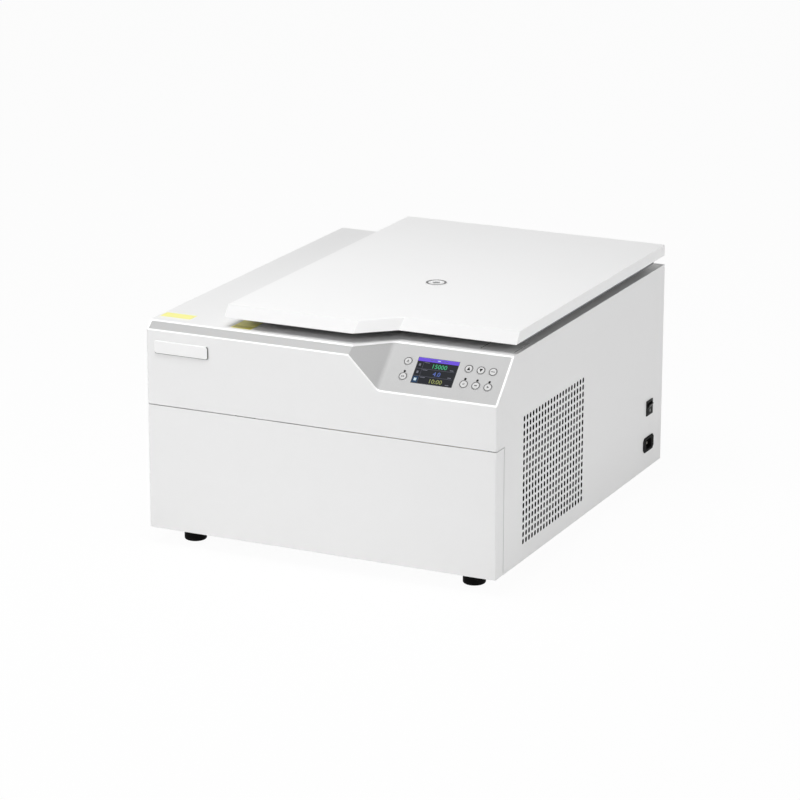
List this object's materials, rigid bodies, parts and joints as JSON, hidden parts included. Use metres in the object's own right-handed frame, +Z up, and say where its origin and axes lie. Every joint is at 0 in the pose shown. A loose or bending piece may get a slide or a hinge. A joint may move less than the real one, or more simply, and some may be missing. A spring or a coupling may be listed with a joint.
{
  "type": "refrigerated centrifuge",
  "caption": "Bench-top cooled centrifuge: white cabinet with a sloped control panel, flat hinged lid over a steel chamber with an angle rotor, side grille, switch and mains inlet.",
  "frame": {"origin": "on the bench, under the middle of the cabinet", "axes": "+X to the right seen from the front, +Y to the rear, +Z up"},
  "size_m": [0.605, 0.6964, 0.3993],
  "materials": {
    "white_paint": "satin powder coat",
    "grey_band": "satin",
    "badge_plastic": "satin",
    "black_rubber": "matt",
    "dark_plastic": "fine texture",
    "grey_plastic": "satin",
    "key_plastic": "satin",
    "screen": "glossy",
    "clear_glass": "polished",
    "stainless": "brushed",
    "zinc_steel": "zinc plated",
    "aluminium": "anodised",
    "rotor_metal": "anodised",
    "copper": "bright tube",
    "foam": "closed cell foam",
    "motor_paint": "black paint",
    "board": "solder mask",
    "brass": "bright"
  },
  "bodies": {
    "cabinet": {"base_pan": "zinc_steel", "feet": "black_rubber", "lower_front_panel": "white_paint", "top_housing": "white_paint", "left_side_panel": "white_paint", "right_side_panel": "white_paint", "rear_panel": "white_paint", "rear_panel_screws": "zinc_steel", "control_band": "grey_band", "badge_plate": "badge_plastic", "release_cover": "white_paint", "screen_module": "screen", "key_board": "board", "indicator_lamps": "dark_plastic", "latch_brackets": "zinc_steel", "latch_gear_motor": "dark_plastic", "hinge_brackets": "zinc_steel", "hinge_pins": "stainless", "chamber_bowl": "stainless", "bowl_insulation": "foam", "evaporator_coil": "copper", "neck_boot": "black_rubber", "drive_motor": "motor_paint", "motor_plate": "zinc_steel", "rubber_mounts": "black_rubber", "condenser": "aluminium", "fan_shroud": "zinc_steel", "fan_motor": "dark_plastic", "compressor": "motor_paint", "filter_drier": "copper", "refrigerant_pipes": "copper", "rocker_frame": "dark_plastic", "power_inlet": "dark_plastic", "inlet_prongs": "brass", "motor_drive_box": "zinc_steel", "drive_heat_sink": "aluminium", "main_board": "board"},
    "lid": {"lid_shell": "white_paint", "lid_foam": "foam", "lid_liner": "dark_plastic", "lid_seal": "black_rubber", "sight_glass_ring": "grey_plastic", "sight_glass": "clear_glass", "lid_strikers": "zinc_steel", "hinge_leaves": "zinc_steel"},
    "rotor": {"rotor": "rotor_metal", "drive_spindle": "stainless", "rotor_nut": "aluminium"},
    "fan": {"condenser_fan": "dark_plastic"},
    "latch": {"latch_shaft": "zinc_steel", "latch_hooks": "zinc_steel"},
    "rocker": {"power_rocker": "dark_plastic"},
    "button_lid_open": {"button_lid_open": "key_plastic"},
    "button_short_spin": {"button_short_spin": "key_plastic"},
    "button_up": {"button_up": "key_plastic"},
    "button_down": {"button_down": "key_plastic"},
    "button_enter": {"button_enter": "key_plastic"},
    "button_set": {"button_set": "key_plastic"},
    "button_stop": {"button_stop": "key_plastic"},
    "button_start": {"button_start": "key_plastic"}
  },
  "joints": [
    {"name": "lid_hinge", "type": "hinge", "parent": "cabinet", "child": "lid", "pos_m": [0.0634, 0.338, 0.37215], "axis": [-1, 0, 0], "range_deg": [0, 75]},
    {"name": "rotor_spin", "type": "hinge", "parent": "cabinet", "child": "rotor", "pos_m": [0.0634, -0.051, 0.2], "axis": [0, 0, 1], "continuous": true},
    {"name": "fan_spin", "type": "hinge", "parent": "cabinet", "child": "fan", "pos_m": [0.25, -0.1232, 0.14], "axis": [1, 0, 0], "continuous": true},
    {"name": "latch_turn", "type": "hinge", "parent": "cabinet", "child": "latch", "pos_m": [-0.06235, -0.24, 0.3182], "axis": [1, 0, 0], "range_deg": [0, 30]},
    {"name": "rocker_tip", "type": "hinge", "parent": "cabinet", "child": "rocker", "pos_m": [0.294, 0.2875, 0.1318], "axis": [0, -1, 0], "range_deg": [0, 16]},
    {"name": "press_lid_open", "type": "slide", "parent": "cabinet", "child": "button_lid_open", "axis": [0, 0.706, -0.7082], "range_m": [0, 0.0008], "stiffness_N_per_m": 500},
    {"name": "press_short_spin", "type": "slide", "parent": "cabinet", "child": "button_short_spin", "axis": [0, 0.706, -0.7082], "range_m": [0, 0.0008], "stiffness_N_per_m": 500},
    {"name": "press_up", "type": "slide", "parent": "cabinet", "child": "button_up", "axis": [0, 0.706, -0.7082], "range_m": [0, 0.0008], "stiffness_N_per_m": 500},
    {"name": "press_down", "type": "slide", "parent": "cabinet", "child": "button_down", "axis": [0, 0.706, -0.7082], "range_m": [0, 0.0008], "stiffness_N_per_m": 500},
    {"name": "press_enter", "type": "slide", "parent": "cabinet", "child": "button_enter", "axis": [0, 0.706, -0.7082], "range_m": [0, 0.0008], "stiffness_N_per_m": 500},
    {"name": "press_set", "type": "slide", "parent": "cabinet", "child": "button_set", "axis": [0, 0.706, -0.7082], "range_m": [0, 0.0008], "stiffness_N_per_m": 500},
    {"name": "press_stop", "type": "slide", "parent": "cabinet", "child": "button_stop", "axis": [0, 0.706, -0.7082], "range_m": [0, 0.0008], "stiffness_N_per_m": 500},
    {"name": "press_start", "type": "slide", "parent": "cabinet", "child": "button_start", "axis": [0, 0.706, -0.7082], "range_m": [0, 0.0008], "stiffness_N_per_m": 500}
  ]
}
